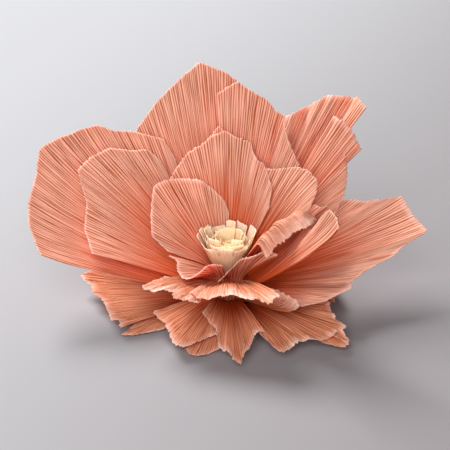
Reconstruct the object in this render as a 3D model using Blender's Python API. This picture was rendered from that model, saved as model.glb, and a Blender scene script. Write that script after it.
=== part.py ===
"""Crepe paper peony, made as such flowers are made: a fringed strip of cream crepe rolled up for the
heart, and coral petals laid round it one after the other, with their feet bound by wire. Metres, +Z up,
the foot on z = 0 and the axis of the flower on Z. The front of the flower looks along -Y."""
import math
import random

import bmesh
import bpy
from mathutils import Vector

MM = 0.001

# Paper and wire
PAPER = 0.40 * MM            # a sheet of crepe with its ribs
FOOT_GAP = 0.36 * MM         # air between one foot and the next
FOOT_MARGIN = 2              # degrees kept clear beside a foot in its own layer
WIRE_DIAMETER = 0.9 * MM
WIRE_HEIGHT = 2.2 * MM       # the lower of its two turns
WIRE_TURNS = 2
WIRE_PITCH = 1.2 * MM        # from one turn to the next
WIRE_STEPS = 24              # points on a turn

# Heart: a fringed strip, rolled up and flared
ROLL_RADIUS = 9.5 * MM       # tight part, which the petals are bound to
ROLL_LAP = 0.8 * MM          # step at the free end of the strip
ROLL_NECK = 35.0 * MM        # where the roll starts to flare
CROWN_RADIUS = 18.4 * MM
CROWN_HEIGHT = 54.5 * MM
CROWN_PITCH = 3.6 * MM       # from one turn to the next at the top
CROWN_DEPTH = 9.0 * MM       # down between two turns
CROWN_DISH = 1.2 * MM        # each turn inwards is this much lower
CROWN_TILT = 2.0 * MM        # the front is this much higher than the middle, and the back lower
FLARE_HEIGHT = 0.60          # share of the way up to the cuts of the fringe, and of the way out to the
FLARE_REACH = 0.45           # crown, at which the flare bends
FRINGE_CUT = 6.0 * MM
FRINGE_WAVE = 1.0 * MM       # by which the fringe rises and falls between its cuts
ROLL_TURNS = 4
TABS_PER_TURN = 9
TAB_COLUMNS = 6              # columns from one cut of the fringe to the next

# Petals
PETAL_REACH = 128.0 * MM     # the farthest rim from the axis
PETAL_HEIGHT = 133.0 * MM    # the highest rim
SPRING = 5.0 * MM            # a petal stands up this far before it leans out
SHOULDER = 0.35              # share of the blade that follows the direction of its rim
BLADE_ROWS = 6
COLUMN_ANGLE = 9.0           # widest column of a petal, in degrees
TOOTH = 1.0 * MM             # raggedness of the cut rim
LIP_TURN = 38.0              # degrees by which a turned lip bends at each of its steps
LIP_STEPS = 3

# The sizes of the flower that the rims below are drawn for
PATTERN_REACH = 128.0 * MM
PATTERN_HEIGHT = 133.0 * MM
PATTERN_CROWN = 18.4 * MM

# The petals in the order in which they are bound on: name, height in mm at which the petal leaves the neck,
# degrees by which its rim bends outwards from its lean, length in mm of the lip that is turned over there,
# and its rim over a few corners and folds, each with its azimuth in degrees (0 at +X, 90 at the back), its
# reach from the axis in mm and its height in mm.
PETALS = [
    ("inner_left_petal", 30, 0, 0, [
        (88, 21, 58), (95, 25, 65), (109, 29, 72), (122, 32, 78), (137, 39, 79), (150, 44, 80),
        (157, 49, 78), (166, 48, 70), (176, 47, 62), (185, 46, 55), (190, 37, 46)]),
    ("inner_front_left_petal", 28, 8, 0, [
        (184, 35, 40), (192, 37, 43.5), (200, 36, 45.5), (208, 34, 44), (213, 37, 41), (224, 38, 39),
        (230, 37, 39), (236, 32, 42), (241, 26, 46), (250, 24, 46.5), (262, 22, 45)]),
    ("inner_back_petal", 30, 6, 0, [
        (30, 29, 64), (39, 35, 74), (50, 38, 81), (58, 41, 86), (61, 37, 88), (70, 43, 92), (72, 47, 95),
        (82, 45, 98), (92, 49, 101), (94, 46, 102), (103, 48, 98), (111, 46, 94), (120, 50, 89),
        (127, 48, 85), (138, 49, 75)]),
    ("inner_right_petal", 29, 8, 0, [
        (1, 45, 60), (7, 48, 65), (14, 55, 74), (20, 58, 81), (28, 55, 85), (34, 51, 86),
        (45, 45, 83), (56, 41, 82)]),
    ("folded_petal", 29, 8, 13, [
        (304, 29, 60), (309, 31, 64), (313, 29, 66), (319, 33, 69), (326, 36, 74), (335, 42, 76),
        (345, 43, 76), (357, 45, 68)]),
    ("inner_front_right_petal", 27, 6, 0, [
        (257, 27, 36), (267, 24, 40), (277, 22.5, 44.5), (290, 22, 49), (302, 25, 51), (309, 28, 53),
        (316, 31, 55), (317.5, 35, 55.5), (318, 39, 54)]),
    ("narrow_right_petal", 17, -13, 0, [
        (315, 85, 90), (318, 81, 93), (321, 73, 95), (325, 65, 87), (328, 60, 78), (333, 55, 70.5),
        (340, 50, 67.5), (346, 46, 65)]),
    ("back_tip_petal", 22, 2, 0, [
        (82, 48, 90), (93, 50, 101), (97, 51, 104), (102, 50, 97), (106, 49, 88)]),
    ("middle_left_petal", 14, 4, 0, [
        (126, 72, 75), (129, 81, 82), (136, 84, 83), (144, 92, 87), (151, 99, 83), (158, 101, 79),
        (164, 91, 63), (175, 88, 53), (187, 82, 47)]),
    ("back_right_petal", 21, 2, 0, [
        (39, 57, 83), (51, 60, 95), (58, 66, 103), (60, 73, 105), (63, 68, 108), (70, 69, 116),
        (78, 67, 121), (85, 69, 126), (96, 65, 119)]),
    ("outer_left_petal", 10, -8, 0, [
        (118, 71, 75), (120, 83, 85), (130, 95, 90), (137, 103, 92), (139, 110, 95), (144, 117, 93),
        (151, 121, 92), (157, 128, 89), (163, 125, 75), (170, 124, 67), (178, 121, 59), (182, 117, 54),
        (188, 113, 49)]),
    ("back_left_petal", 8, -6, 0, [
        (86, 76, 124), (91, 78, 128), (102, 86, 133), (108, 97, 119), (115, 106, 103), (125, 104, 86)]),
    ("narrow_back_petal", 25, 4, 0, [
        (8, 61, 69), (15, 58, 65), (21, 57, 64)]),
    ("right_side_petal", 21, 4, 0, [
        (6, 60, 52), (13, 65, 52), (21, 72, 56), (24.4, 78, 61), (26.4, 82, 64.5), (27.3, 83.5, 70.5),
        (29.4, 86, 75.5), (31, 87, 80), (32, 86, 86)]),
    ("right_back_petal", 19, 4, 0, [
        (33.5, 101, 85), (33.8, 100, 88), (34.2, 97, 91), (35.6, 99, 94), (37.5, 96, 99), (40.4, 94, 103),
        (44, 93, 104)]),
    ("upper_right_petal", 17, 4, 0, [
        (39, 113, 107), (41.5, 114, 109), (44, 116, 110), (47.6, 121, 106.5), (48.2, 117, 108), (49.7, 111, 110),
        (51.5, 105, 111), (53.2, 107, 109.5), (53.8, 100, 109), (56, 100, 106), (58.6, 101, 102),
        (59.1, 94, 103), (59.6, 87, 103), (62.4, 85, 100), (66, 86, 97)]),
    ("lower_right_petal", 17, -4, 0, [
        (328, 52, 20), (335, 62, 22), (340, 65, 22), (344, 72, 26), (348, 77, 26), (354, 75, 25),
        (357, 83, 30), (359, 83, 29), (364, 102, 35), (368, 111, 38), (369, 126, 46), (376, 121, 50),
        (382, 119, 58), (383.5, 109, 56), (388, 97, 54), (394, 88, 53)]),
    ("front_lip_petal", 26, 20, 0, [
        (241, 46, 37), (246, 48, 37), (250, 51, 37), (256, 52, 38), (261, 50, 39.5), (265, 52, 41),
        (272, 51, 42), (279, 53, 41.5), (284, 56, 40.5), (288, 59, 41), (292, 63, 40), (295, 62, 42),
        (300, 60, 42)]),
    ("left_lip_petal", 25, 14, 0, [
        (205, 41, 33), (210, 54, 36), (217, 63, 38), (225, 57, 38), (230, 51, 37), (236, 57, 38),
        (244, 53, 36), (250, 50, 34)]),
    ("right_lip_petal", 12, -50, 0, [
        (298, 36, 37), (303, 39, 37), (309, 44, 36), (311, 51, 35), (314, 57, 33), (316, 58, 29)]),
    ("skirt_back_petal", 8, 8, 0, [
        (68, 62, 8), (80, 70, 8), (95, 68, 8), (108, 72, 8), (116, 64, 7)]),
    ("skirt_back_left_petal", 7, 8, 0, [
        (120, 66, 8), (128, 72, 9), (142, 70, 8), (149, 71, 9), (153, 64, 9)]),
    ("skirt_back_right_petal", 9, 8, 0, [
        (-4, 66, 9), (8, 70, 9), (24, 72, 9), (40, 68, 8), (56, 70, 8), (64, 60, 6)]),
    ("skirt_front_petal", 15, 10, 0, [
        (239, 30, 15), (245, 33, 13.5), (251, 35, 12), (257, 37, 11), (261, 40, 10), (262.5, 46, 8.5),
        (265, 54, 7), (269, 55, 6), (272, 58, 6), (273.5, 65, 6), (276.5, 68, 6), (278, 62, 7),
        (280, 57, 7), (283, 56, 8), (286, 51, 9), (291, 46, 11.5), (297, 48, 12)]),
    ("skirt_front_right_petal", 11, 10, 0, [
        (295, 45, 9), (297, 55, 8), (298, 66, 7), (303, 65, 7), (310, 63, 8), (316, 66, 8.5),
        (320, 73, 8), (325, 75, 8.5), (329, 76, 10)]),
    ("skirt_right_petal", 8, 10, 0, [
        (323, 70, 4), (325, 84, 4), (330, 84, 5), (332, 77, 8), (335, 79, 9), (337, 73, 10.5),
        (339, 69, 11), (344, 65, 12), (348, 64, 13.5), (351, 57, 15)]),
    ("skirt_front_left_petal", 12, 10, 0, [
        (204, 50, 12), (213, 50, 11), (218, 49, 10), (225, 51, 9), (232, 55, 8), (236, 58, 7),
        (240, 59, 6), (246, 54, 6.5), (250, 48, 7), (256, 41, 7), (261, 39, 7)]),
    ("skirt_left_petal", 8, 4, 0, [
        (155, 77, 16), (159, 88, 14), (166, 97, 12), (168, 94, 11), (171, 87, 10), (176, 85, 9),
        (181, 78, 8.5), (185, 76, 8.5), (192, 75, 7), (197, 74, 7), (200, 70, 8), (204, 71, 6)]),
    ("skirt_under_front_petal", 5, 8, 0, [
        (242, 53, 2), (245, 56, 2), (248, 57, 2), (253, 56, 1.5), (259, 50, 1.5), (265, 46, 2)]),
    ("skirt_under_left_petal", 5, 8, 0, [
        (199, 60, 4), (203, 64, 3), (206, 72, 2), (208, 64, 1.5), (211, 46, 1.5)]),
]

CORAL = (0.738, 0.242, 0.140)
CREAM = (0.807, 0.604, 0.423)
STEEL = (0.35, 0.36, 0.33)


def clear_scene():
    for old in list(bpy.data.objects):
        bpy.data.objects.remove(old, do_unlink=True)


def principled(name, colour, roughness, metallic=0.0):
    material = bpy.data.materials.new(name)
    material.use_nodes = True
    shader = material.node_tree.nodes["Principled BSDF"]
    shader.inputs["Base Color"].default_value = (*colour, 1.0)
    shader.inputs["Roughness"].default_value = roughness
    shader.inputs["Metallic"].default_value = metallic
    return material


def add_object(name, data, material):
    piece = bpy.data.objects.new(name, data)
    bpy.context.scene.collection.objects.link(piece)
    data.materials.append(material)
    return piece


def polar(azimuth, radius, height):
    return Vector((radius * math.cos(azimuth), radius * math.sin(azimuth), height))


def overlaps(first, second):
    """Whether two azimuth spans, in degrees, meet anywhere round the circle."""
    return any(first[0] + turn < second[1] and second[0] < first[1] + turn for turn in (-360, 0, 360))


def lay_feet(petals):
    """The layer of each foot: a petal is bound over all the earlier ones that it meets."""
    spans = []
    layers = []
    for *_, rim in petals:
        span = (rim[0][0] - FOOT_MARGIN, rim[-1][0] + FOOT_MARGIN)
        under = [layers[i] for i, other in enumerate(spans) if overlaps(span, other)]
        layers.append(1 + max(under, default=-1))
        spans.append(span)
    return layers


def foot_radius(layer):
    return ROLL_RADIUS + FOOT_GAP + PAPER / 2 + layer * (PAPER + FOOT_GAP)


def rim_corner(azimuth, reach, height):
    """A corner of a rim, drawn out from the pattern to this flower's own crown, reach and height."""
    spread = (PETAL_REACH - CROWN_RADIUS) / (PATTERN_REACH - PATTERN_CROWN)
    reach = CROWN_RADIUS + spread * (reach * MM - PATTERN_CROWN)
    return polar(math.radians(azimuth), reach, height * MM * PETAL_HEIGHT / PATTERN_HEIGHT)


def rim_points(rim, chance):
    """Points along a rim: straight between its corners, with a little raggedness where it was cut."""
    corners = [rim_corner(*corner) for corner in rim]
    points = []
    for number, (start, end) in enumerate(zip(corners, corners[1:])):
        steps = max(1, math.ceil((rim[number + 1][0] - rim[number][0]) / COLUMN_ANGLE))
        for step in range(steps):
            point = start.lerp(end, step / steps)
            if step:
                point *= 1 - chance.uniform(0, TOOTH) / point.length
            points.append(point)
    return points + [corners[-1]]


def petal_ray(radius, leave, curl, lip, rim_point):
    """One line of a petal from foot to rim, in the upright plane of its azimuth: up along the neck, then a
    cubic curve that leans out to the rim, then the lip, if one is turned over there."""
    azimuth = math.atan2(rim_point.y, rim_point.x)
    start = Vector((radius, leave))
    end = Vector((math.hypot(rim_point.x, rim_point.y), rim_point.z))
    chord = end - start
    lean = math.atan2(chord.y, chord.x) - math.radians(curl)
    first = start + Vector((0, SPRING))
    last = end - SHOULDER * chord.length * Vector((math.cos(lean), math.sin(lean)))
    line = [Vector((radius, 0))]
    for row in range(BLADE_ROWS + 1):
        t = row / BLADE_ROWS
        line.append((1 - t) ** 3 * start + 3 * (1 - t) ** 2 * t * first
                    + 3 * (1 - t) * t ** 2 * last + t ** 3 * end)
    for _ in range(LIP_STEPS if lip else 0):
        lean -= math.radians(LIP_TURN)
        line.append(line[-1] + lip / LIP_STEPS * Vector((math.cos(lean), math.sin(lean))))
    return [polar(azimuth, point.x, point.y) for point in line]


def make_petal(name, leave, curl, lip, rim, layer, material):
    chance = random.Random(name)
    foot = foot_radius(layer)
    rays = [petal_ray(foot, leave * MM, curl, lip * MM, point) for point in rim_points(rim, chance)]
    sheet = bmesh.new()
    grid = [[sheet.verts.new(point) for point in ray] for ray in rays]
    for left, right in zip(grid, grid[1:]):
        for row in range(len(left) - 1):
            sheet.faces.new((left[row], left[row + 1], right[row + 1], right[row]))
    mesh = bpy.data.meshes.new(name)
    sheet.to_mesh(mesh)
    sheet.free()
    piece = add_object(name, mesh, material)
    wall = piece.modifiers.new("Paper", "SOLIDIFY")
    wall.thickness = PAPER
    wall.offset = 0
    return piece


def make_roll(name, material):
    """The fringed roll. Its top follows the spiral of the strip: a crest on each turn of paper, notched
    where the fringe is cut, and a valley between one turn and the next."""
    per_turn = TAB_COLUMNS * TABS_PER_TURN
    last = ROLL_TURNS * per_turn
    valley_height = CROWN_HEIGHT - CROWN_DEPTH
    slope = (CROWN_RADIUS - ROLL_RADIUS) / (CROWN_HEIGHT - ROLL_NECK)
    draw = 1 - CROWN_DEPTH * slope / CROWN_RADIUS
    chance = random.Random(7)
    roll = bmesh.new()
    crests = []
    valleys = []
    for step in range(last + 1):
        azimuth = math.tau * step / per_turn
        radius = CROWN_RADIUS - CROWN_PITCH * (last - step) / per_turn
        dish = CROWN_DISH * (last - step) / per_turn
        notch = FRINGE_CUT if step % TAB_COLUMNS == 0 else chance.uniform(-FRINGE_WAVE, FRINGE_WAVE)
        top = CROWN_HEIGHT - dish - notch - CROWN_TILT * math.sin(azimuth)
        crests.append(roll.verts.new(polar(azimuth, radius, top)))
        valleys.append(roll.verts.new(polar(azimuth, draw * (radius - CROWN_PITCH / 2), valley_height)))
    for step in range(last):
        roll.faces.new((valleys[step], valleys[step + 1], crests[step + 1], crests[step]))
    for step in range(last - per_turn):
        outer = step + per_turn
        roll.faces.new((crests[step], crests[step + 1], valleys[outer + 1], valleys[outer]))
    eye = roll.verts.new((0, 0, valley_height))
    for step in range(per_turn):
        roll.faces.new((eye, valleys[step + 1], valleys[step]))
    roll.faces.new((eye, valleys[0], valleys[per_turn]))
    roll.faces.new((valleys[0], crests[0], valleys[per_turn]))
    # The outer wall, from the crests of the last turn down to the foot
    columns = []
    for step in range(per_turn + 1):
        azimuth = math.tau * step / per_turn
        tight = ROLL_RADIUS - ROLL_LAP * (1 - step / per_turn)
        crest = crests[last - per_turn + step]
        flare = tight + FLARE_REACH * (math.hypot(crest.co.x, crest.co.y) - tight)
        middle = ROLL_NECK + FLARE_HEIGHT * (CROWN_HEIGHT - FRINGE_CUT - ROLL_NECK)
        levels = [(flare, middle), (tight, ROLL_NECK), (tight, 0)]
        columns.append([crest] + [roll.verts.new(polar(azimuth, r, z)) for r, z in levels])
    for left, right in zip(columns, columns[1:] + columns[:1]):
        for row in range(3):
            roll.faces.new((left[row], right[row], right[row + 1], left[row + 1]))
    roll.faces.new((crests[last], valleys[last], crests[last - per_turn]))
    sole = roll.verts.new((0, 0, 0))
    for left, right in zip(columns, columns[1:] + columns[:1]):
        roll.faces.new((left[3], right[3], sole))
    bmesh.ops.recalc_face_normals(roll, faces=roll.faces)
    mesh = bpy.data.meshes.new(name)
    roll.to_mesh(mesh)
    roll.free()
    return add_object(name, mesh, material)


def make_wire(name, radius, material):
    """Two turns of wire round the feet, as an open helix."""
    curve = bpy.data.curves.new(name, "CURVE")
    curve.dimensions = "3D"
    curve.bevel_depth = WIRE_DIAMETER / 2
    curve.bevel_resolution = 1
    curve.use_fill_caps = True
    spline = curve.splines.new("POLY")
    spline.points.add(WIRE_TURNS * WIRE_STEPS)
    for number, point in enumerate(spline.points):
        turn = number / WIRE_STEPS
        place = polar(math.tau * turn, radius, WIRE_HEIGHT + turn * WIRE_PITCH)
        point.co = (*place, 1)
    return add_object(name, curve, material)


def main():
    clear_scene()
    coral = principled("coral crepe paper", CORAL, 0.9)
    cream = principled("cream crepe paper", CREAM, 0.9)
    steel = principled("binding wire", STEEL, 0.4, 1.0)
    make_roll("core_roll", cream)
    layers = lay_feet(PETALS)
    for petal, layer in zip(PETALS, layers):
        make_petal(*petal, layer, coral)
    wire_radius = foot_radius(max(layers)) + PAPER / 2 + FOOT_GAP + WIRE_DIAMETER / 2
    make_wire("binding_wire", wire_radius, steel)


main()
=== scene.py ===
import math
import random

import bpy
import numpy as np
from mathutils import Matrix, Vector


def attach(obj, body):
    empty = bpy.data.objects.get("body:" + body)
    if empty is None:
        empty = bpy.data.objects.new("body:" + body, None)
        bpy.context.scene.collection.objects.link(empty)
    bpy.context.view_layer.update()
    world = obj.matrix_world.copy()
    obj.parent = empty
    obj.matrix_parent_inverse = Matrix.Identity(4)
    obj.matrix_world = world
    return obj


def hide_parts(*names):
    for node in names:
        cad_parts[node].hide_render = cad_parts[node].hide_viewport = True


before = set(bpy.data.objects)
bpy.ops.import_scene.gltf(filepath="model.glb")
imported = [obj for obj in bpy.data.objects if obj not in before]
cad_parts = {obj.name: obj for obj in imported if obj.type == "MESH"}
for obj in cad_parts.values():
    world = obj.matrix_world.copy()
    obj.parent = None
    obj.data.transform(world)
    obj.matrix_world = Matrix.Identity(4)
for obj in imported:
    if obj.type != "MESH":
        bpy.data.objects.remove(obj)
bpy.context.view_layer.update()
millimetre = 0.001


def toLinear(hexColour):
    channels = [int(hexColour[i:i + 2], 16) / 255 for i in (1, 3, 5)]
    return [c / 12.92 if c <= 0.04045 else ((c + 0.055) / 1.055) ** 2.4 for c in channels] + [1.0]


def addNode(tree, kind, inputs=None, **settings):
    # inputs are numbers or colours to set, or sockets to link; a node stands for its first output
    node = tree.nodes.new(kind)
    for name, value in settings.items():
        setattr(node, name, value)
    for key, value in (inputs or {}).items():
        if isinstance(value, bpy.types.Node):
            value = value.outputs[0]
        if isinstance(value, bpy.types.NodeSocket):
            tree.links.new(value, node.inputs[key])
        else:
            node.inputs[key].default_value = value
    return node


# Studio: a large lamp high at the back left, soft light from the front, and a card floor with a painted light
# falloff

photoView = {
    "cameraPlace": (-0.0018, -0.662, 0.4126), "cameraAim": (-0.0018, 0.0, 0.0605),
    "lens": 100, "sensorWidth": 36,
    "keyPlace": (-1.55, 2.25, 2.85), "keySize": 2.0, "keyPower": 330.0,
    "fillPlace": (-0.35, -1.65, 1.35), "fillSize": 1.8, "fillPower": 53.0,
    "lowPlace": (0.15, -1.60, 0.15), "lowSize": 0.9, "lowPower": 9.0,
    "lampAim": (0.0, 0.0, 0.05), "skyStrength": 0.08, "backColour": "#D0D0D2",
}

studioFloor = {
    "lightColour": "#969699", "darkColour": "#6C6667", "roughness": 0.9,
    "shadeWay": (0.85, -0.45, 0.0), "shadeStart": -0.36, "shadeEnd": 0.33,
    "reach": 6.0, "corners": 48, "drop": 0.0002,
}


def aimAt(thing, target):
    thing.rotation_euler = (Vector(target) - thing.location).to_track_quat("-Z", "Y").to_euler()


def addCamera(values):
    camera = bpy.data.objects.new("camera", bpy.data.cameras.new("camera"))
    camera.data.lens = values["lens"]
    camera.data.sensor_width = values["sensorWidth"]
    camera.location = values["cameraPlace"]
    aimAt(camera, values["cameraAim"])
    bpy.context.scene.collection.objects.link(camera)
    bpy.context.scene.camera = camera


def addLamp(use, values):
    lamp = bpy.data.lights.new(use + "Lamp", "AREA")
    lamp.shape = "DISK"
    lamp.size = values[use + "Size"]
    lamp.energy = values[use + "Power"]
    holder = bpy.data.objects.new(use + "Lamp", lamp)
    holder.location = values[use + "Place"]
    aimAt(holder, values["lampAim"])
    bpy.context.scene.collection.objects.link(holder)


def addWorld(values):
    # a dim sky lights the paper, and the camera and the gloss see a plain backdrop
    world = bpy.data.worlds.new("studio")
    world.use_nodes = True
    tree = world.node_tree
    tree.nodes.clear()
    path = addNode(tree, "ShaderNodeLightPath").outputs
    seen = addNode(tree, "ShaderNodeMath", {0: path["Is Camera Ray"], 1: path["Is Glossy Ray"]},
                   operation="MAXIMUM")
    sky = addNode(tree, "ShaderNodeBackground", {"Strength": values["skyStrength"]})
    back = addNode(tree, "ShaderNodeBackground", {"Color": toLinear(values["backColour"])})
    mixed = addNode(tree, "ShaderNodeMixShader", {0: seen, 1: sky, 2: back})
    addNode(tree, "ShaderNodeOutputWorld", {"Surface": mixed})
    bpy.context.scene.world = world


def floorMaterial(values):
    # matte card with a painted light falloff and shade: lighter at the back left, where the lamp stands, and
    # darker to the right and front
    card = bpy.data.materials.new("matte card, painted light falloff")
    card.use_nodes = True
    tree = card.node_tree
    place = addNode(tree, "ShaderNodeTexCoord").outputs["Object"]
    across = addNode(tree, "ShaderNodeVectorMath", {0: place, 1: values["shadeWay"]}, operation="DOT_PRODUCT")
    shade = addNode(tree, "ShaderNodeMapRange", {
        "Value": across.outputs["Value"], "From Min": values["shadeStart"], "From Max": values["shadeEnd"]},
        interpolation_type="SMOOTHSTEP")
    tone = addNode(tree, "ShaderNodeMix", {0: shade, 6: toLinear(values["lightColour"]),
                                           7: toLinear(values["darkColour"])}, data_type="RGBA").outputs[2]
    shader = tree.nodes["Principled BSDF"]
    shader.inputs["Roughness"].default_value = values["roughness"]
    tree.links.new(tone, shader.inputs["Base Color"])
    return card


def addFloor(values):
    mesh = bpy.data.meshes.new("floor")
    reach, count = values["reach"], values["corners"]
    angles = [math.tau * corner / count for corner in range(count)]
    corners = [(reach * math.cos(angle), reach * math.sin(angle), -values["drop"]) for angle in angles]
    mesh.from_pydata(corners, [], [list(range(count))])
    mesh.materials.append(floorMaterial(values))
    floor = bpy.data.objects.new("floor", mesh)
    bpy.context.scene.collection.objects.link(floor)


bpy.context.scene.view_settings.view_transform = "Standard"
addCamera(photoView)
for use in ("key", "fill", "low"):
    addLamp(use, photoView)
addWorld(photoView)
addFloor(studioFloor)
print("studio ready")


# Crepe paper: dyed tissue pressed into fine ribs. Its colour is painted lighter on each rib, a painted
# highlight, and deeper between them, painted shade. A cut edge is fuzzy, worn pale and in part painted with a
# highlight. "streak" and "fleck" have a width and a length.

# the ridge colour is also a painted highlight on the ribs, and the valley colour painted shade in the grooves;
# "gathered" is painted shade at a petal's foot, and the cut edge colour is worn pale and in part a painted
# highlight
coralCrepe = {
    "paleDyeAndHighlight": "#FFD6BA", "valley": "#B8500A", "gathered": "#DC5808", "glow": "#FFAC80", "throughLight": 0.50,
    "roughness": 0.85, "specular": 0.25,
    "blotch": 18.0, "blotchDetail": 2.0, "blotchShare": 0.25,
    "streak": (0.8, 24.0), "streakDetail": 3.0, "streakShare": 0.7,
    "fleck": (0.9, 2.4), "fleckDetail": 4.0, "fleckDepth": 0.20, "fleckStrength": 0.5,
    "grooveLow": -0.4, "grooveHigh": 0.5, "ridgeTint": 0.88,
    "edgeWearAndHighlight": "#FFE8DC", "edgeShare": 0.85, "edgeWander": 2.4, "edgeFade": 1.3,
    "patchLow": 0.38, "patchHigh": 0.62, "leastPatch": 0.35,
}
# handled more: its rim is pale all along, worn and in part a painted highlight, the painted shade at its foot
# is darker, and its flecks are coarse
pulledCrepe = {
    **coralCrepe, "paleDyeAndHighlight": "#FFC096", "valley": "#B24C0A", "gathered": "#AC3A06", "edgeWearAndHighlight": "#FFE6D6",
    "edgeShare": 1.0, "fleck": (1.3, 1.5), "fleckDepth": 0.45,
}
# the heart is yellower next to its axis
creamCrepe = {
    **coralCrepe, "paleDyeAndHighlight": "#FFFAF0", "valley": "#F4DEC2", "gathered": "#EAC49A", "glow": "#FFF4DC",
    "throughLight": 0.45, "blotch": 9.0, "streak": (0.9, 12.0), "fleckDepth": 0.16,
    "edgeWearAndHighlight": "#FFF3E0", "edgeShare": 0.6,
    "heart": "#FAF0C8", "heartShare": 0.85, "heartInside": 6.0, "heartOutside": 15.0,
}


def heartReach(tree, values):
    place = addNode(tree, "ShaderNodeTexCoord").outputs["Object"]
    flat = addNode(tree, "ShaderNodeVectorMath", {0: place, 1: (1, 1, 0)}, operation="MULTIPLY")
    reach = addNode(tree, "ShaderNodeVectorMath", {0: flat}, operation="LENGTH").outputs["Value"]
    return addNode(tree, "ShaderNodeMapRange", {
        "Value": reach, "From Min": values["heartInside"] * millimetre,
        "From Max": values["heartOutside"] * millimetre, "To Min": values["heartShare"], "To Max": 0.0})


def crepeMaterial(name, values):
    material = bpy.data.materials.new(name)
    material.use_nodes = True
    tree = material.node_tree
    tree.nodes.clear()
    rib, along, rim, relief, footShade = [
        addNode(tree, "ShaderNodeAttribute", attribute_name=label).outputs["Fac"]
        for label in ("rib", "along", "rim", "relief", "footShade")]

    # soft blotches and long streaks, where the dye took more or less, and small flecks
    onSheet = addNode(tree, "ShaderNodeCombineXYZ", {"X": rib, "Y": along})
    blotch = addNode(tree, "ShaderNodeTexNoise", {"Vector": onSheet, "Scale": 1 / values["blotch"],
                                                  "Detail": values["blotchDetail"]})
    drawn = {}
    for mark in ("streak", "fleck"):
        width, length = values[mark]
        spot = addNode(tree, "ShaderNodeMapping", {"Vector": onSheet, "Scale": (1 / width, 1 / length, 1)})
        drawn[mark] = addNode(tree, "ShaderNodeTexNoise", {"Vector": spot, "Scale": 1.0,
                                                           "Detail": values[mark + "Detail"]})
    # the rib relief adds a painted highlight on the ribs and painted shade in the grooves to the dye's streaks
    # and blotches
    height = addNode(tree, "ShaderNodeMath", {0: drawn["streak"], 1: values["streakShare"], 2: relief},
                     operation="MULTIPLY_ADD")
    height = addNode(tree, "ShaderNodeMath", {0: blotch, 1: values["blotchShare"], 2: height},
                     operation="MULTIPLY_ADD", use_clamp=True)
    paper = addNode(tree, "ShaderNodeMix", {0: height, 6: toLinear(values["valley"]),
                                            7: toLinear(values["paleDyeAndHighlight"])}, data_type="RGBA").outputs[2]

    # painted shade: where the paper is gathered at a petal's foot, the petals around it shade it, and the
    # colour is painted deeper there, a little less on the ribs
    groove = addNode(tree, "ShaderNodeMapRange", {
        "Value": relief, "From Min": values["grooveLow"], "From Max": values["grooveHigh"],
        "To Min": 1.0, "To Max": values["ridgeTint"]})
    footShade = addNode(tree, "ShaderNodeMath", {0: footShade, 1: groove}, operation="MULTIPLY")

    # the cut edge is pale, more here and less there: worn, and in part a painted highlight where the rims catch
    # the light
    paleReach = addNode(tree, "ShaderNodeMath", {0: drawn["streak"], 1: -values["edgeWander"], 2: rim},
                   operation="MULTIPLY_ADD")
    edge = addNode(tree, "ShaderNodeMapRange", {
        "Value": paleReach, "From Min": -values["edgeFade"], "From Max": 0.0,
        "To Min": values["edgeShare"], "To Max": 0.0})
    patch = addNode(tree, "ShaderNodeMapRange", {
        "Value": blotch, "From Min": values["patchLow"], "From Max": values["patchHigh"],
        "To Min": values["leastPatch"], "To Max": 1.0})
    edge = addNode(tree, "ShaderNodeMath", {0: edge, 1: patch}, operation="MULTIPLY")

    # painted shade at the foot, then the pale edge, worn and in part a painted highlight
    coats = [(footShade, "gathered"), (edge, "edgeWearAndHighlight")]
    if "heart" in values:
        coats.insert(0, (heartReach(tree, values), "heart"))
    for share, colour in coats:
        paper = addNode(tree, "ShaderNodeMix", {0: share, 6: paper, 7: toLinear(values[colour])},
                        data_type="RGBA").outputs[2]

    # light passes through the sheet and takes on its dye, but the pale edge, worn and in part a painted
    # highlight, only scatters it
    bump = addNode(tree, "ShaderNodeBump", {"Height": drawn["fleck"], "Strength": values["fleckStrength"],
                                            "Distance": values["fleckDepth"] * millimetre})
    body = addNode(tree, "ShaderNodeBsdfPrincipled", {
        "Base Color": paper, "Roughness": values["roughness"], "Specular IOR Level": values["specular"],
        "Normal": bump})
    dyed = addNode(tree, "ShaderNodeMath", {0: 1.0, 1: edge}, operation="SUBTRACT")
    glow = addNode(tree, "ShaderNodeMix", {0: dyed, 6: paper, 7: toLinear(values["glow"])},
                   data_type="RGBA", blend_type="MULTIPLY").outputs[2]
    through = addNode(tree, "ShaderNodeBsdfTranslucent", {"Color": glow, "Normal": bump})
    sheet = addNode(tree, "ShaderNodeMixShader", {0: values["throughLight"], 1: body, 2: through})
    addNode(tree, "ShaderNodeOutputMaterial", {"Surface": sheet})
    return material


coralPaper = crepeMaterial("coral dyed crepe paper", coralCrepe)
pulledPaper = crepeMaterial("coral dyed crepe paper, pulled wide", pulledCrepe)
creamPaper = crepeMaterial("cream dyed crepe paper", creamCrepe)
print("paper dyed")


# Geometry Nodes press the ribs into a smooth sheet. At each point the sheet brings "rib", the place across
# the paper, "along", the way left to the cut edge, "squeeze", how far the paper is gathered there, and
# "grain", the direction of its ribs. The tree adds "relief", the height of the ribs, for the material.

sheetNumbers = ("Rib pitch", "Rib depth", "Wander", "Fold width", "Fold depth", "Flutter", "Flutter length",
                "Flutter depth", "Crinkle", "Tooth", "Seed")

# "foldings" is how often every second rib can go under, lengths run along the ribs, and what is "apart"
# keeps one noise from looking like the next
crepePress = {
    "foldings": 4, "apart": 7.0, "driftRibs": 2.5, "driftLength": 60.0, "roughLength": 26.0,
    "ribHeight": 1.3, "roughHeight": 2.4, "roughDrop": 1.9,
    "shut": 0.10, "open": 0.45, "shutHeight": 0.30, "pulledFlat": 0.5,
    "foldLength": 90.0, "flutterLength": 50.0, "dentScale": 0.42, "cutScale": 1.25, "cutMiddle": 1.15,
    "edgeReach": 2.5, "patternsApart": 20.0,
}


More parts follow.
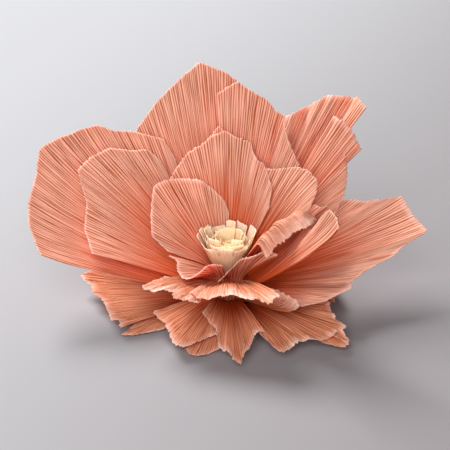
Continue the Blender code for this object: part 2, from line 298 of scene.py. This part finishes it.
def ribHeights(tree, press, given, rib, along, squeeze):
    # where the paper is gathered to half its width, every second rib goes under
    gathered = addNode(tree, "ShaderNodeMath", {0: squeeze, 1: 2.0}, operation="LOGARITHM")
    drifting = (1 / press["driftRibs"], 1 / press["driftLength"], 1.0)
    rougher = (1.0, 1 / press["roughLength"], 1.0)
    height = 0.0
    for fold in range(press["foldings"]):
        away = addNode(tree, "ShaderNodeMath", {0: gathered, 1: float(fold)}, operation="ADD")
        away = addNode(tree, "ShaderNodeMath", {0: away}, operation="ABSOLUTE")
        share = addNode(tree, "ShaderNodeMath", {0: 1.0, 1: away}, operation="SUBTRACT", use_clamp=True)
        pitch = addNode(tree, "ShaderNodeMath", {0: given["Rib pitch"], 1: 2.0 ** fold}, operation="MULTIPLY")
        count = addNode(tree, "ShaderNodeMath", {0: rib, 1: pitch}, operation="DIVIDE")
        onRib = addNode(tree, "ShaderNodeCombineXYZ", {"X": count, "Y": along, "Z": press["apart"] * fold})
        slow = addNode(tree, "ShaderNodeVectorMath", {0: onRib, 1: drifting}, operation="MULTIPLY")
        drift = addNode(tree, "ShaderNodeTexNoise", {"Vector": slow, "W": given["Seed"], "Scale": 1.0,
                                                     "Detail": 1.0}, noise_dimensions="4D")
        drift = addNode(tree, "ShaderNodeMath", {0: drift, 1: given["Wander"]}, operation="MULTIPLY")
        turn = addNode(tree, "ShaderNodeMath", {0: count, 1: math.pi, 2: drift}, operation="MULTIPLY_ADD")
        # round ribs with narrow grooves between them, some higher and some lower
        wave = addNode(tree, "ShaderNodeMath", {0: turn}, operation="SINE")
        wave = addNode(tree, "ShaderNodeMath", {0: wave}, operation="ABSOLUTE")
        quick = addNode(tree, "ShaderNodeVectorMath", {0: onRib, 1: rougher}, operation="MULTIPLY")
        rough = addNode(tree, "ShaderNodeTexNoise", {"Vector": quick, "W": given["Seed"], "Scale": 1.0,
                                                     "Detail": 2.0}, noise_dimensions="4D")
        rough = addNode(tree, "ShaderNodeMath", {0: rough, 1: press["roughHeight"], 2: -press["roughDrop"]},
                        operation="MULTIPLY_ADD")
        wave = addNode(tree, "ShaderNodeMath", {0: wave, 1: press["ribHeight"], 2: rough},
                       operation="MULTIPLY_ADD")
        height = addNode(tree, "ShaderNodeMath", {0: wave, 1: share, 2: height}, operation="MULTIPLY_ADD")
    return height


def sheetPatterns(tree, press, given, rib, along):
    # noise laid over the sheet: its width across the ribs, how fast it goes along them, scale and detail
    patterns = {
        "fold": (given["Fold width"], 1 / press["foldLength"], 1.0, 2.0),
        "sway": (given["Flutter length"], 1 / press["flutterLength"], 1.0, 1.0),
        "cut": (given["Rib pitch"], 0.0, press["cutScale"], 2.0),
        "dent": (1.0, 1.0, press["dentScale"], 3.0),
    }
    made = {}
    for number, (label, (width, share, scale, detail)) in enumerate(patterns.items(), 1):
        across = addNode(tree, "ShaderNodeMath", {0: rib, 1: width}, operation="DIVIDE")
        down = addNode(tree, "ShaderNodeMath", {0: along, 1: share}, operation="MULTIPLY")
        layer = press["patternsApart"] * number
        spot = addNode(tree, "ShaderNodeCombineXYZ", {"X": across, "Y": down, "Z": layer})
        made[label] = addNode(tree, "ShaderNodeTexNoise", {"Vector": spot, "W": given["Seed"], "Scale": scale,
                                                           "Detail": detail}, noise_dimensions="4D")
    return made


def crepeTree(press):
    tree = bpy.data.node_groups.new("crepeRibs", "GeometryNodeTree")
    tree.interface.new_socket("Geometry", in_out="INPUT", socket_type="NodeSocketGeometry")
    for name in sheetNumbers:
        tree.interface.new_socket(name, in_out="INPUT", socket_type="NodeSocketFloat")
    tree.interface.new_socket("Paper", in_out="INPUT", socket_type="NodeSocketMaterial")
    tree.interface.new_socket("Geometry", in_out="OUTPUT", socket_type="NodeSocketGeometry")
    given = addNode(tree, "NodeGroupInput").outputs
    rib, along, squeeze = [
        addNode(tree, "GeometryNodeInputNamedAttribute", {"Name": label}, data_type="FLOAT")
        for label in ("rib", "along", "squeeze")]
    grain = addNode(tree, "GeometryNodeInputNamedAttribute", {"Name": "grain"}, data_type="FLOAT_VECTOR")
    pattern = sheetPatterns(tree, press, given, rib, along)

    # ribs are low where the paper is gathered tight, and flat at a rim that was pulled wide
    height = ribHeights(tree, press, given, rib, along, squeeze)
    opened = addNode(tree, "ShaderNodeMapRange", {
        "Value": squeeze, "From Min": press["shut"], "From Max": press["open"],
        "To Min": press["shutHeight"], "To Max": 1.0})
    height = addNode(tree, "ShaderNodeMath", {0: height, 1: opened}, operation="MULTIPLY")
    loose = addNode(tree, "ShaderNodeMapRange", {
        "Value": along, "From Min": 0.0, "From Max": given["Flutter depth"], "To Min": 1.0, "To Max": 0.0},
        interpolation_type="SMOOTHSTEP")
    pulled = addNode(tree, "ShaderNodeMath", {0: loose, 1: given["Crinkle"]}, operation="MULTIPLY")
    flat = addNode(tree, "ShaderNodeMath", {0: pulled, 1: -press["pulledFlat"], 2: 1.0},
                   operation="MULTIPLY_ADD", use_clamp=True)
    height = addNode(tree, "ShaderNodeMath", {0: height, 1: flat}, operation="MULTIPLY")
    stored = addNode(tree, "GeometryNodeStoreNamedAttribute",
                     {"Geometry": given["Geometry"], "Name": "relief", "Value": height}, data_type="FLOAT")
    lift = addNode(tree, "ShaderNodeMath", {0: height, 1: given["Rib depth"]}, operation="MULTIPLY")

    # broad soft folds run with the ribs and are flat at the neck
    fold = addNode(tree, "ShaderNodeMath", {0: pattern["fold"], 1: 2.0, 2: -1.0}, operation="MULTIPLY_ADD")
    freeFold = addNode(tree, "ShaderNodeMath", {0: opened, 1: given["Fold depth"]}, operation="MULTIPLY")
    lift = addNode(tree, "ShaderNodeMath", {0: fold, 1: freeFold, 2: lift}, operation="MULTIPLY_ADD")

    # the loose rim flutters, and a pulled one is crushed into small dents
    sway = addNode(tree, "ShaderNodeMath", {0: pattern["sway"], 1: 2.0, 2: -1.0}, operation="MULTIPLY_ADD")
    sway = addNode(tree, "ShaderNodeMath", {0: sway, 1: given["Flutter"]}, operation="MULTIPLY")
    lift = addNode(tree, "ShaderNodeMath", {0: sway, 1: loose, 2: lift}, operation="MULTIPLY_ADD")
    dent = addNode(tree, "ShaderNodeMath", {0: pattern["dent"], 1: 4.0, 2: -2.0}, operation="MULTIPLY_ADD")
    dent = addNode(tree, "ShaderNodeMath", {0: dent}, operation="ABSOLUTE")
    lift = addNode(tree, "ShaderNodeMath", {0: dent, 1: pulled, 2: lift}, operation="MULTIPLY_ADD")

    # its cut is a little ragged
    cut = addNode(tree, "ShaderNodeMath", {0: pattern["cut"], 1: 2.0, 2: -press["cutMiddle"]},
                  operation="MULTIPLY_ADD")
    atEdge = addNode(tree, "ShaderNodeMapRange", {
        "Value": along, "From Min": 0.0, "From Max": press["edgeReach"], "To Min": 1.0, "To Max": 0.0})
    atEdge = addNode(tree, "ShaderNodeMath", {0: atEdge, 1: given["Tooth"]}, operation="MULTIPLY")
    cut = addNode(tree, "ShaderNodeMath", {0: cut, 1: atEdge}, operation="MULTIPLY")

    normal = addNode(tree, "GeometryNodeInputNormal")
    up = addNode(tree, "ShaderNodeVectorMath", {0: normal, "Scale": lift}, operation="SCALE")
    out = addNode(tree, "ShaderNodeVectorMath", {0: grain, "Scale": cut}, operation="SCALE")
    move = addNode(tree, "ShaderNodeVectorMath", {0: up, 1: out}, operation="ADD")
    move = addNode(tree, "ShaderNodeVectorMath", {0: move, "Scale": millimetre}, operation="SCALE")
    pressed = addNode(tree, "GeometryNodeSetPosition", {"Geometry": stored, "Offset": move})
    real = addNode(tree, "GeometryNodeRealizeInstances", {"Geometry": pressed})
    painted = addNode(tree, "GeometryNodeSetMaterial", {"Geometry": real, "Material": given["Paper"]})
    addNode(tree, "NodeGroupOutput", {"Geometry": painted})
    return tree


crepeRibs = crepeTree(crepePress)

# "squeeze" is the width left of the paper: it stays between the tightest and the widest, and the painted shade
# at a petal's foot deepens from the widest down to the last one, where it is full
gathers = {"tightest": 0.07, "widest": 1.2, "fullFootShade": 0.3}


def sheetFacts(points, values):
    # what the tree and the materials read at each point: "rim" pales the edge, and the foot is painted with
    # shade where gathered
    columns, rows = points.shape[:2]
    steps = np.linalg.norm(np.diff(points, axis=1), axis=2)
    travelled = np.concatenate([np.zeros((columns, 1)), np.cumsum(steps, axis=1)], axis=1)
    along = travelled[:, -1:] - travelled
    spans = np.linalg.norm(np.diff(points, axis=0), axis=2)
    fullWidth = spans[:, int(values["ribPlace"] * rows)]
    rib = np.concatenate([[0], np.cumsum(fullWidth)])
    squeeze = np.clip(spans.sum(axis=0) / fullWidth.sum(), gathers["tightest"], gathers["widest"])
    # painted shade share: full where the paper is gathered tightest, at the foot, and none where it is widest
    gathering = np.clip((gathers["widest"] - squeeze) / (gathers["widest"] - gathers["fullFootShade"]), 0, 1)
    footShade = values["footShade"] * gathering ** 2 * (3 - 2 * gathering)
    grain = np.gradient(points, axis=1)
    grain /= np.linalg.norm(grain, axis=2, keepdims=True) + 1e-9  # never divides by nothing
    return {"rib": np.repeat(rib[:, None], rows, axis=1), "along": along, "rim": along / values["paleRim"],
            "squeeze": np.tile(squeeze, (columns, 1)), "footShade": np.tile(footShade, (columns, 1)), "grain": grain}


def smoothSheet(name, points, values, gaps):
    # points[column][row] runs from the foot to the cut edge; a gap opens a column from a row upwards
    columns, rows = points.shape[:2]
    order = np.arange(columns * rows).reshape(columns, rows)
    quads = np.stack([order[:-1, :-1], order[:-1, 1:], order[1:, 1:], order[1:, :-1]], axis=-1)
    keep = np.ones(quads.shape[:2], bool)
    for column, row in gaps:
        keep[column, row:] = False
    mesh = bpy.data.meshes.new(name)
    mesh.from_pydata((points.reshape(-1, 3) * millimetre).tolist(), [], quads[keep].tolist())
    for label, numbers in sheetFacts(points, values).items():
        kind, channel = ("FLOAT_VECTOR", "vector") if numbers.ndim == 3 else ("FLOAT", "value")
        attribute = mesh.attributes.new(label, kind, "POINT")
        attribute.data.foreach_set(channel, numbers.astype(np.float32).ravel())
    mesh.shade_smooth()
    smooth = bpy.data.objects.new(name + "Smooth", mesh)
    bpy.context.scene.collection.objects.link(smooth)
    return smooth


def pressPaper(name, points, values, paper, gaps=()):
    smooth = smoothSheet(name, points, values, gaps)
    press = smooth.modifiers.new("crepeRibs", "NODES")
    press.node_group = crepeRibs
    inputs = [item for item in crepeRibs.interface.items_tree if item.in_out == "INPUT"]
    sockets = {item.name: item.identifier for item in inputs}
    for label in sheetNumbers:
        press[sockets[label]] = float(values[label])
    press[sockets["Paper"]] = paper
    depsgraph = bpy.context.evaluated_depsgraph_get()
    pressed = bpy.data.meshes.new_from_object(smooth.evaluated_get(depsgraph), depsgraph=depsgraph)
    bpy.data.objects.remove(smooth, do_unlink=True)
    pressed.name = name
    piece = bpy.data.objects.new(name, pressed)
    bpy.context.scene.collection.objects.link(piece)
    wall = piece.modifiers.new("paper", "SOLIDIFY")
    wall.thickness = values["paper"] * millimetre
    wall.offset = 0
    return piece


# Petals, in the order in which they are bound on. "leave" is the height at which a petal leaves the neck,
# "curl" how far its rim bends out from its lean, "lip" the length that is turned over, and "rim" its cut edge
# over corners and folds: azimuth (0 at the right, 90 at the back), reach from the axis, height. "spring" is how
# far a petal rises before it leans out, "shoulder" the share of it that is straight at the rim, and "lipBend"
# the share of a lip in which it is folded.

petalCut = {
    "paper": 0.40, "footGap": 0.36, "footMargin": 2, "rollRadius": 9.5, "spring": 5.0, "shoulder": 0.35,
    "lipTurn": 90.0, "lipRows": 12, "lipBend": 0.4, "cornerRound": 2.4, "ribPlace": 0.8,
    "columnStep": 0.4, "leastColumns": 12,
    "rowStep": 4.2, "leastRows": 10, "rowCrowding": 1.25, "footRows": 4,
    "Rib pitch": 1.6, "Rib depth": 0.36, "Wander": 6.0, "Fold width": 11.0, "Fold depth": 1.0, "Flutter": 1.2,
    "Flutter length": 14.0, "Flutter depth": 22.0, "Crinkle": 0.0, "Tooth": 1.8, "Seed": 0.0,
    "seedStep": 11.0, "paleRim": 1.0, "footShade": 1.0,
}

petals = {
    "inner_left_petal": {"leave": 30, "curl": 0, "lip": 0, "rim": [
        (88, 21, 58), (95, 25, 65), (109, 29, 72), (122, 32, 78), (137, 39, 79), (150, 44, 80),
        (157, 49, 78), (166, 48, 70), (176, 47, 62), (185, 46, 55), (190, 37, 46)]},
    "inner_front_left_petal": {"leave": 28, "curl": 8, "lip": 0, "rim": [
        (184, 35, 40), (192, 37, 43.5), (200, 36, 45.5), (208, 34, 44), (213, 37, 41), (224, 38, 39),
        (230, 37, 39), (236, 32, 42), (241, 26, 46), (250, 24, 46.5), (262, 22, 45)]},
    "inner_back_petal": {"leave": 30, "curl": 6, "lip": 0, "rim": [
        (30, 29, 64), (39, 35, 74), (50, 38, 81), (58, 41, 86), (61, 37, 88), (70, 43, 92), (72, 47, 95),
        (82, 45, 98), (92, 49, 101), (94, 46, 102), (103, 48, 98), (111, 46, 94), (120, 50, 89),
        (127, 48, 85), (138, 49, 75)]},
    "inner_right_petal": {"leave": 29, "curl": 8, "lip": 0, "rim": [
        (1, 45, 60), (7, 48, 65), (14, 55, 74), (20, 58, 81), (28, 55, 85), (34, 51, 86), (45, 45, 83),
        (56, 41, 82)]},
    "folded_petal": {"leave": 29, "curl": 8, "lip": 13, "rim": [
        (304, 29, 60), (309, 31, 64), (313, 29, 66), (319, 33, 69), (326, 36, 74), (335, 42, 76),
        (345, 43, 76), (357, 45, 68)]},
    "inner_front_right_petal": {"leave": 27, "curl": 6, "lip": 0, "rim": [
        (257, 27, 36), (267, 24, 40), (277, 22.5, 44.5), (290, 22, 49), (302, 25, 51), (309, 28, 53),
        (316, 31, 55), (317.5, 35, 55.5), (318, 39, 54)]},
    "narrow_right_petal": {"leave": 17, "curl": -13, "lip": 0, "rim": [
        (315, 85, 90), (318, 81, 93), (321, 73, 95), (325, 65, 87), (328, 60, 78), (333, 55, 70.5),
        (340, 50, 67.5), (346, 46, 65)]},
    "back_tip_petal": {"leave": 22, "curl": 2, "lip": 0, "rim": [
        (82, 48, 90), (93, 50, 101), (97, 51, 104), (102, 50, 97), (106, 49, 88)]},
    "middle_left_petal": {"leave": 14, "curl": 4, "lip": 0, "rim": [
        (126, 72, 75), (129, 81, 82), (136, 84, 83), (144, 92, 87), (151, 99, 83), (158, 101, 79),
        (164, 91, 63), (175, 88, 53), (187, 82, 47)]},
    "back_right_petal": {"leave": 21, "curl": 2, "lip": 0, "rim": [
        (39, 57, 83), (51, 60, 95), (58, 66, 103), (60, 73, 105), (63, 68, 108), (70, 69, 116),
        (78, 67, 121), (85, 69, 126), (96, 65, 119)]},
    "outer_left_petal": {"leave": 10, "curl": -8, "lip": 0, "rim": [
        (118, 71, 75), (120, 83, 85), (130, 95, 90), (137, 103, 92), (139, 110, 95), (144, 117, 93),
        (151, 121, 92), (157, 128, 89), (163, 125, 75), (170, 124, 67), (178, 121, 59), (182, 117, 54),
        (188, 113, 49)]},
    "back_left_petal": {"leave": 8, "curl": -6, "lip": 0, "rim": [
        (86, 76, 124), (91, 78, 128), (102, 86, 133), (108, 97, 119), (115, 106, 103), (125, 104, 86)]},
    "narrow_back_petal": {"leave": 25, "curl": 4, "lip": 0, "rim": [
        (8, 61, 69), (15, 58, 65), (21, 57, 64)]},
    "right_side_petal": {"leave": 21, "curl": 4, "lip": 0, "rim": [
        (6, 60, 52), (13, 65, 52), (21, 72, 56), (24.4, 78, 61), (26.4, 82, 64.5), (27.3, 83.5, 70.5),
        (29.4, 86, 75.5), (31, 87, 80), (32, 86, 86)]},
    "right_back_petal": {"leave": 19, "curl": 4, "lip": 0, "rim": [
        (33.5, 101, 85), (33.8, 100, 88), (34.2, 97, 91), (35.6, 99, 94), (37.5, 96, 99), (40.4, 94, 103),
        (44, 93, 104)]},
    "upper_right_petal": {"leave": 17, "curl": 4, "lip": 0, "rim": [
        (39, 113, 107), (41.5, 114, 109), (44, 116, 110), (47.6, 121, 106.5), (48.2, 117, 108),
        (49.7, 111, 110), (51.5, 105, 111), (53.2, 107, 109.5), (53.8, 100, 109), (56, 100, 106),
        (58.6, 101, 102), (59.1, 94, 103), (59.6, 87, 103), (62.4, 85, 100), (66, 86, 97)]},
    "lower_right_petal": {"leave": 17, "curl": -4, "lip": 0, "rim": [
        (328, 52, 20), (335, 62, 22), (340, 65, 22), (344, 72, 26), (348, 77, 26), (354, 75, 25),
        (357, 83, 30), (359, 83, 29), (364, 102, 35), (368, 111, 38), (369, 126, 46), (376, 121, 50),
        (382, 119, 58), (383.5, 109, 56), (388, 97, 54), (394, 88, 53)]},
    "front_lip_petal": {"leave": 26, "curl": 20, "lip": 0, "rim": [
        (241, 46, 37), (246, 48, 37), (250, 51, 37), (256, 52, 38), (261, 50, 39.5), (265, 52, 41),
        (272, 51, 42), (279, 53, 41.5), (284, 56, 40.5), (288, 59, 41), (292, 63, 40), (295, 62, 42),
        (300, 60, 42)]},
    "left_lip_petal": {"leave": 25, "curl": 14, "lip": 0, "rim": [
        (205, 41, 33), (210, 54, 36), (217, 63, 38), (225, 57, 38), (230, 51, 37), (236, 57, 38),
        (244, 53, 36), (250, 50, 34)]},
    "right_lip_petal": {"leave": 12, "curl": -50, "lip": 0, "rim": [
        (298, 36, 37), (303, 39, 37), (309, 44, 36), (311, 51, 35), (314, 57, 33), (316, 58, 29)]},
    "skirt_back_petal": {"leave": 8, "curl": 8, "lip": 0, "rim": [
        (68, 62, 8), (80, 70, 8), (95, 68, 8), (108, 72, 8), (116, 64, 7)]},
    "skirt_back_left_petal": {"leave": 7, "curl": 8, "lip": 0, "rim": [
        (120, 66, 8), (128, 72, 9), (142, 70, 8), (149, 71, 9), (153, 64, 9)]},
    "skirt_back_right_petal": {"leave": 9, "curl": 8, "lip": 0, "rim": [
        (-4, 66, 9), (8, 70, 9), (24, 72, 9), (40, 68, 8), (56, 70, 8), (64, 60, 6)]},
    "skirt_front_petal": {"leave": 15, "curl": 10, "lip": 0, "rim": [
        (239, 30, 15), (245, 33, 13.5), (251, 35, 12), (257, 37, 11), (261, 40, 10), (262.5, 46, 8.5),
        (265, 54, 7), (269, 55, 6), (272, 58, 6), (273.5, 65, 6), (276.5, 68, 6), (278, 62, 7),
        (280, 57, 7), (283, 56, 8), (286, 51, 9), (291, 46, 11.5), (297, 48, 12)]},
    "skirt_front_right_petal": {"leave": 11, "curl": 10, "lip": 0, "rim": [
        (295, 45, 9), (297, 55, 8), (298, 66, 7), (303, 65, 7), (310, 63, 8), (316, 66, 8.5), (320, 73, 8),
        (325, 75, 8.5), (329, 76, 10)]},
    "skirt_right_petal": {"leave": 8, "curl": 10, "lip": 0, "rim": [
        (323, 70, 4), (325, 84, 4), (330, 84, 5), (332, 77, 8), (335, 79, 9), (337, 73, 10.5),
        (339, 69, 11), (344, 65, 12), (348, 64, 13.5), (351, 57, 15)]},
    "skirt_front_left_petal": {"leave": 12, "curl": 10, "lip": 0, "rim": [
        (204, 50, 12), (213, 50, 11), (218, 49, 10), (225, 51, 9), (232, 55, 8), (236, 58, 7),
        (240, 59, 6), (246, 54, 6.5), (250, 48, 7), (256, 41, 7), (261, 39, 7)]},
    "skirt_left_petal": {"leave": 8, "curl": 4, "lip": 0, "rim": [
        (155, 77, 16), (159, 88, 14), (166, 97, 12), (168, 94, 11), (171, 87, 10), (176, 85, 9),
        (181, 78, 8.5), (185, 76, 8.5), (192, 75, 7), (197, 74, 7), (200, 70, 8), (204, 71, 6)]},
    "skirt_under_front_petal": {"leave": 5, "curl": 8, "lip": 0, "rim": [
        (242, 53, 2), (245, 56, 2), (248, 57, 2), (253, 56, 1.5), (259, 50, 1.5), (265, 46, 2)]},
    "skirt_under_left_petal": {"leave": 5, "curl": 8, "lip": 0, "rim": [
        (199, 60, 4), (203, 64, 3), (206, 72, 2), (208, 64, 1.5), (211, 46, 1.5)]},
}


# What differs from petalCut. The short petals at the front and below are handled more, and their rims are
# crinkled;
# some of the others have a wider pale rim, worn and in part a painted highlight, or less painted shade at the
# foot.
crinkled = {
    "Flutter": 3.0, "Flutter length": 7.0, "Flutter depth": 18.0, "Fold width": 9.0, "Fold depth": 1.2,
    "Crinkle": 1.3, "Tooth": 2.6, "rowStep": 1.6, "paleRim": 4.5, "footShade": 1.1,
}
ownCuts = {name: crinkled for name in petals if "skirt" in name}
for name in ("front_lip_petal", "left_lip_petal", "right_lip_petal", "folded_petal"):
    ownCuts[name] = {**crinkled, "Flutter depth": 28.0, "Crinkle": 1.6, "paleRim": 12.0, "footShade": 0.7}
for name in ("lower_right_petal", "upper_right_petal", "right_back_petal"):
    ownCuts[name] = {"paleRim": 4.0}
for name in ("inner_left_petal", "inner_front_left_petal", "inner_front_right_petal"):
    ownCuts[name] = {"paleRim": 3.0, "footShade": 0.6}


def overlaps(first, second):
    return any(first[0] + turn < second[1] and second[0] < first[1] + turn for turn in (-360, 0, 360))


def footLayers():
    # a petal is bound over all the earlier ones that it meets
    spans, layers = [], []
    for petal in petals.values():
        span = (petal["rim"][0][0] - petalCut["footMargin"], petal["rim"][-1][0] + petalCut["footMargin"])
        under = [layer for layer, other in zip(layers, spans) if overlaps(span, other)]
        layers.append(1 + max(under, default=-1))
        spans.append(span)
    return dict(zip(petals, layers))


def rimLine(rim, cut):
    azimuth = np.radians([corner[0] for corner in rim])
    reach = np.array([corner[1] for corner in rim])
    height = [corner[2] for corner in rim]
    corners = np.stack([reach * np.cos(azimuth), reach * np.sin(azimuth), height], axis=1)
    way = np.concatenate([[0], np.cumsum(np.linalg.norm(np.diff(corners, axis=0), axis=1))])
    places = np.linspace(0, way[-1], max(cut["leastColumns"], round(way[-1] / cut["columnStep"])))
    line = np.stack([np.interp(places, way, corners[:, axis]) for axis in range(3)], axis=1)
    # the folds are soft: each point takes the mean of its neighbours, except at the two ends
    near = max(1, round(cut["cornerRound"] / cut["columnStep"]))
    padded = np.concatenate([np.repeat(line[:1], near, axis=0), line, np.repeat(line[-1:], near, axis=0)])
    soft = np.mean([padded[i:i + len(line)] for i in range(2 * near + 1)], axis=0)
    inside = np.clip(np.minimum(places, way[-1] - places) / cut["cornerRound"], 0, 1)[:, None]
    return line * (1 - inside) + soft * inside


def petalSurface(petal, cut, layer):
    # each column runs up the neck and bends outwards in one curve to the rim, where a lip is turned over
    foot = cut["rollRadius"] + cut["footGap"] + cut["paper"] / 2 + layer * (cut["paper"] + cut["footGap"])
    line = rimLine(petal["rim"], cut)
    azimuth = np.arctan2(line[:, 1], line[:, 0])
    end = np.stack([np.hypot(line[:, 0], line[:, 1]), line[:, 2]], axis=1)
    start = np.array([foot, petal["leave"]], float)
    chord = end - start
    length = np.linalg.norm(chord, axis=1, keepdims=True)
    lean = np.arctan2(chord[:, 1], chord[:, 0]) - math.radians(petal["curl"])
    heading = np.stack([np.cos(lean), np.sin(lean)], axis=1)
    first = start + [0, cut["spring"]]
    last = end - cut["shoulder"] * length * heading
    rows = max(cut["leastRows"], round(float(length.max()) / cut["rowStep"]))
    neck = np.linspace(0, petal["leave"], cut["footRows"] + 1)[:-1]
    profile = [np.repeat([[foot, z]], len(line), axis=0) for z in neck]
    # closer rows next to the rim
    for t in 1 - (1 - np.linspace(0, 1, rows)) ** cut["rowCrowding"]:
        lower = (1 - t) ** 3 * start + 3 * (1 - t) ** 2 * t * first
        upper = 3 * (1 - t) * t ** 2 * last + t ** 3 * end
        profile.append(lower + upper)
    if petal["lip"]:
        for number in range(cut["lipRows"]):
            # all of the turn is in the fold, and the flap beyond it is flat
            share = min(1.0, (number + 0.5) / cut["lipRows"] / cut["lipBend"])
            angle = lean - math.radians(cut["lipTurn"]) * share
            step = petal["lip"] / cut["lipRows"] * np.stack([np.cos(angle), np.sin(angle)], axis=1)
            profile.append(profile[-1] + step)
    profile = np.array(profile).transpose(1, 0, 2)
    reach, height = profile[..., 0], profile[..., 1]
    return np.stack([reach * np.cos(azimuth)[:, None], reach * np.sin(azimuth)[:, None], height], axis=-1)


def makePetals():
    layers = footLayers()
    for number, (name, petal) in enumerate(petals.items()):
        values = {**petalCut, **petal, **ownCuts.get(name, {})}
        values["Seed"] += petalCut["seedStep"] * number
        paper = pulledPaper if values["Crinkle"] else coralPaper
        points = petalSurface(petal, values, layers[name])
        piece = pressPaper(name.replace("_petal", "Petal"), points, values, paper)
        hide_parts(name)
        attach(piece, "root")


makePetals()
print("petals pressed:", len(petals))


# Heart: one strip of cream crepe, cut into a fringe, rolled up and flared at the top. The pitches are the
# steps from turn to turn in the roll and in the crown, and "dish" is the drop of each turn further in.

heartCut = {
    "paper": 0.35, "turns": 5.8, "rollRadius": 9.5, "rollInset": 0.4, "rollPitch": 1.4,
    "crownRadius": 18.4, "crownPitch": 2.7, "crownHeight": 54.0, "neck": 33.0, "dish": 0.4, "tilt": 0.3,
    "flareBend": 0.9, "fringeCut": 7.0,
    "tabWidth": (5.0, 10.0), "tabGap": 0.4, "tabRise": 3.6, "tabLean": 13.0,
    "columnStep": 0.6, "leastColumns": 4, "rows": 34, "cutRow": 21, "ribPlace": 0.95, "seed": 4,
    "Rib pitch": 1.6, "Rib depth": 0.22, "Wander": 5.0, "Fold width": 5.0, "Fold depth": 0.8, "Flutter": 1.4,
    "Flutter length": 6.0, "Flutter depth": 12.0, "Crinkle": 0.0, "Tooth": 1.6, "Seed": 3.0,
    "paleRim": 0.8, "footShade": 1.0,
}


def heartTabs(cut):
    # columns along the strip: the angle rolled up, and the rise and lean of the tab that the column is in
    chance = random.Random(cut["seed"])
    whole = math.tau * cut["turns"]
    rolled, columns, gaps = 0.0, [], []
    while rolled < whole:
        crown = cut["crownRadius"] - cut["crownPitch"] * (whole - rolled) / math.tau
        width = chance.uniform(*cut["tabWidth"]) / crown
        steps = max(cut["leastColumns"], round(width * crown / cut["columnStep"]))
        rise = chance.uniform(-1, 1) * cut["tabRise"]
        lean = chance.uniform(-1, 1) * cut["tabLean"]
        skew = chance.uniform(-0.5, 0.5) * cut["tabRise"]
        for step in range(steps + 1):
            columns.append((rolled + width * step / steps, rise + skew * (step / steps - 0.5), lean))
        gaps.append(len(columns) - 1)
        rolled += width + cut["tabGap"] / crown
    return columns, gaps[:-1]


def heartSurface(cut):
    columns, gaps = heartTabs(cut)
    points = np.zeros((len(columns), cut["rows"], 3))
    for column, (angle, rise, lean) in enumerate(columns):
        turnsLeft = cut["turns"] - angle / math.tau
        crown = cut["crownRadius"] - cut["crownPitch"] * turnsLeft
        tight = cut["rollRadius"] - cut["rollInset"] - cut["rollPitch"] * turnsLeft
        top = cut["crownHeight"] - cut["dish"] * turnsLeft - cut["tilt"] * math.sin(angle)
        cutHeight = top - cut["fringeCut"]
        for row in range(cut["rows"]):
            if row <= cut["cutRow"]:
                z = cutHeight * row / cut["cutRow"]
                outwards = 0.0
            else:
                share = (row - cut["cutRow"]) / (cut["rows"] - 1 - cut["cutRow"])
                z = cutHeight + (top + rise - cutHeight) * share
                outwards = math.tan(math.radians(lean)) * (z - cutHeight)
            flare = max(0.0, (z - cut["neck"]) / (top - cut["neck"]))
            radius = tight + (crown - tight) * flare ** cut["flareBend"] + outwards
            points[column, row] = (radius * math.cos(angle), radius * math.sin(angle), z)
    return points, [(column, cut["cutRow"]) for column in gaps]


def makeHeart(cut):
    points, gaps = heartSurface(cut)
    piece = pressPaper("coreRoll", points, cut, creamPaper, gaps)
    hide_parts("core_roll")
    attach(piece, "root")


makeHeart(heartCut)
print("heart rolled")


# Binding wire: drawn steel, bright from the die but dulled in handling

wireFinish = {
    "colour": "#A3A49F", "smoothest": 0.24, "roughest": 0.50,
    "markScale": 900.0, "markDetail": 2.0, "markDepth": 0.12, "markStrength": 0.3,
}


def wireMaterial(values):
    material = bpy.data.materials.new("drawn steel wire")
    material.use_nodes = True
    tree = material.node_tree
    tree.nodes.clear()
    place = addNode(tree, "ShaderNodeTexCoord").outputs["Object"]
    marks = addNode(tree, "ShaderNodeTexNoise", {"Vector": place, "Scale": values["markScale"],
                                                 "Detail": values["markDetail"]})
    shine = addNode(tree, "ShaderNodeMapRange", {"Value": marks, "To Min": values["smoothest"],
                                                 "To Max": values["roughest"]})
    bump = addNode(tree, "ShaderNodeBump", {"Height": marks, "Strength": values["markStrength"],
                                            "Distance": values["markDepth"] * millimetre})
    metal = addNode(tree, "ShaderNodeBsdfPrincipled", {
        "Base Color": toLinear(values["colour"]), "Metallic": 1.0, "Roughness": shine, "Normal": bump})
    addNode(tree, "ShaderNodeOutputMaterial", {"Surface": metal})
    return material


steelWire = wireMaterial(wireFinish)
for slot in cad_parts["binding_wire"].material_slots:
    slot.material = steelWire
print("wire finished")
